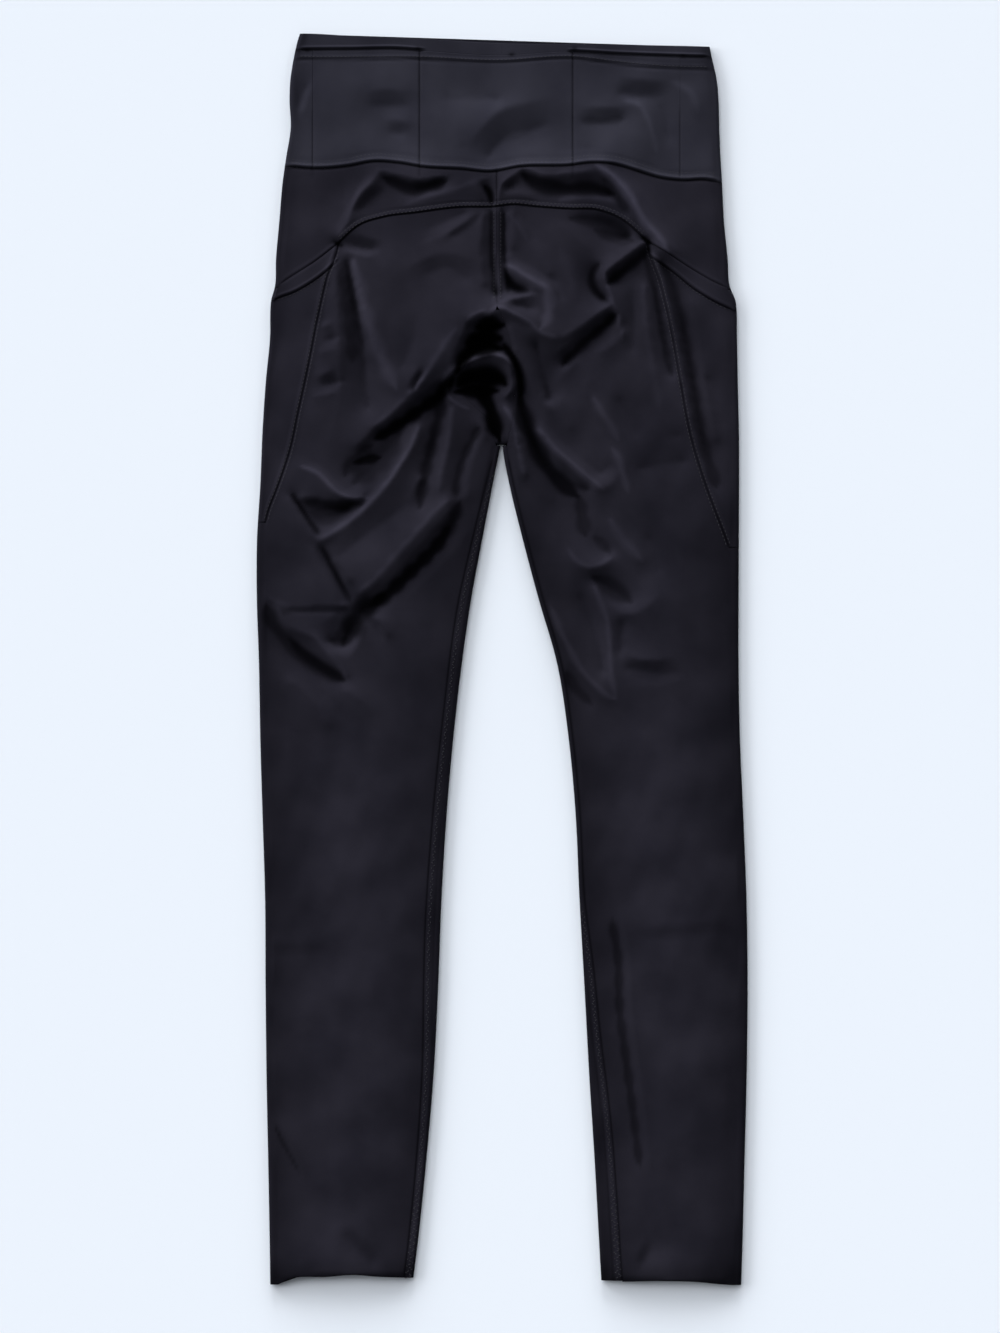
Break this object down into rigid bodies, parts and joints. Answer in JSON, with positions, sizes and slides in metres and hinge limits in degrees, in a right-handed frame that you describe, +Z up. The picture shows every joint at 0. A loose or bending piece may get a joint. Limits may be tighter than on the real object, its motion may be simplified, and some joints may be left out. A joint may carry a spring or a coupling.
{
  "type": "leggings",
  "caption": "High-waisted full-length leggings laid flat with the back up: panelled waistband, yoke, side pockets, crotch gusset and creased seat.",
  "frame": {"origin": "the middle of the garment's own box, on the surface that it lies on", "axes": "+Y towards the waist, +Z up out of the surface, through the back of the garment, and +X to the right of someone who looks down at it with the waist away from them"},
  "size_m": [0.3675, 0.9378, 0.0176],
  "materials": {
    "black_knit": "matte black stretch knit with a soft sheen",
    "waistband_knit": "smoother black doubled knit, slightly lighter"
  },
  "bodies": {
    "root": {"gusset": "black_knit", "leg_left": "black_knit", "leg_right": "black_knit", "pocket_hem_left": "black_knit", "pocket_hem_right": "black_knit", "pocket_left": "black_knit", "pocket_right": "black_knit", "waistband_back_centre": "waistband_knit", "waistband_back_left": "waistband_knit", "waistband_back_right": "waistband_knit", "waistband_casing": "waistband_knit", "waistband_front": "waistband_knit", "yoke_left": "black_knit", "yoke_right": "black_knit"}
  },
  "joints": []
}
